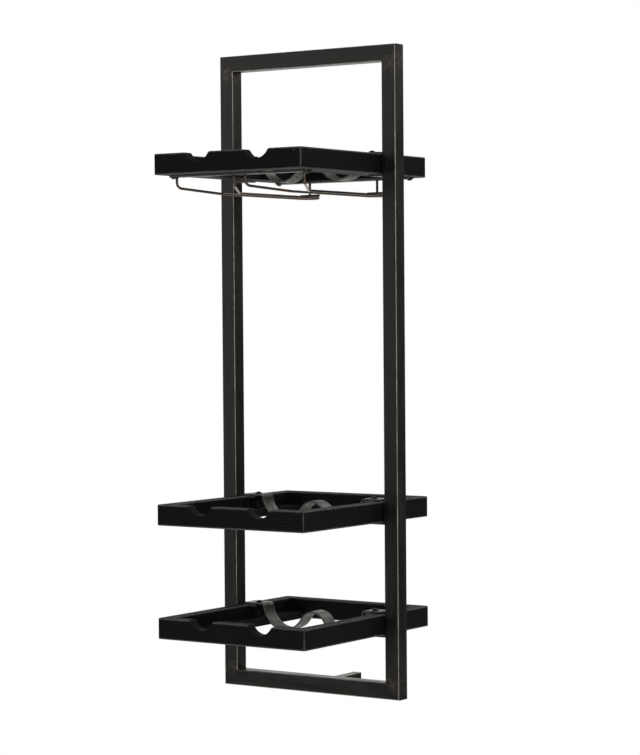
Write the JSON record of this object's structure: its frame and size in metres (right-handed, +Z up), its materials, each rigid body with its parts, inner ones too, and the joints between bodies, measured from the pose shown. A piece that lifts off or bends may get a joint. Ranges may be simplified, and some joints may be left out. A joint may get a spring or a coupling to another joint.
{
  "type": "wall wine rack",
  "caption": "Wall-hung wine rack: tall square-tube steel frame, open wooden trays with neck notches and bent-strap bottle cradles, and a wire stemware rack under the top tray.",
  "frame": {"origin": "middle of the two wall-screw holes, on the wall plane (the back faces of the rear boards)", "axes": "+X to the right seen from the front, +Y into the wall, +Z up"},
  "size_m": [0.33, 0.345, 1],
  "materials": {
    "frame_steel": "clear-lacquered dark mill steel, satin, worn edges",
    "stained_wood": "black-stained matte wood",
    "strap_steel": "dark oiled hot-rolled steel",
    "bracket_steel": "dark hot-rolled steel",
    "strip_steel": "dark hot-rolled steel",
    "wire_steel": "dark drawn steel wire, semi-polished",
    "fastener_steel": "black-oxide steel",
    "dowel_beech": "raw beech",
    "cap_plastic": "black polyethylene"
  },
  "bodies": {
    "root": {"upright_left": "frame_steel", "upright_right": "frame_steel", "top_rail": "frame_steel", "bottom_rail": "frame_steel", "wall_arm": "frame_steel", "wall_arm_cap": "cap_plastic", "lower_front_board": "stained_wood", "lower_rear_board": "stained_wood", "lower_left_board": "stained_wood", "lower_right_board": "stained_wood", "lower_side_cleats": "stained_wood", "lower_bottle_strap": "strap_steel", "lower_bracket_left": "bracket_steel", "lower_bracket_right": "bracket_steel", "middle_front_board": "stained_wood", "middle_rear_board": "stained_wood", "middle_left_board": "stained_wood", "middle_right_board": "stained_wood", "middle_side_cleats": "stained_wood", "middle_bottle_strap": "strap_steel", "middle_bracket_left": "bracket_steel", "middle_bracket_right": "bracket_steel", "upper_front_board": "stained_wood", "upper_rear_board": "stained_wood", "upper_left_board": "stained_wood", "upper_right_board": "stained_wood", "upper_side_cleats": "stained_wood", "upper_bottle_strap": "strap_steel", "upper_bracket_left": "bracket_steel", "upper_bracket_right": "bracket_steel", "tray_dowels": "dowel_beech", "strap_bolts": "fastener_steel", "strap_nuts": "fastener_steel", "strip_screws": "fastener_steel", "stem_front_strip": "strip_steel", "stem_rear_strip": "strip_steel", "stem_rail_left": "wire_steel", "stem_rail_right": "wire_steel", "stem_hangers": "wire_steel"}
  },
  "joints": []
}
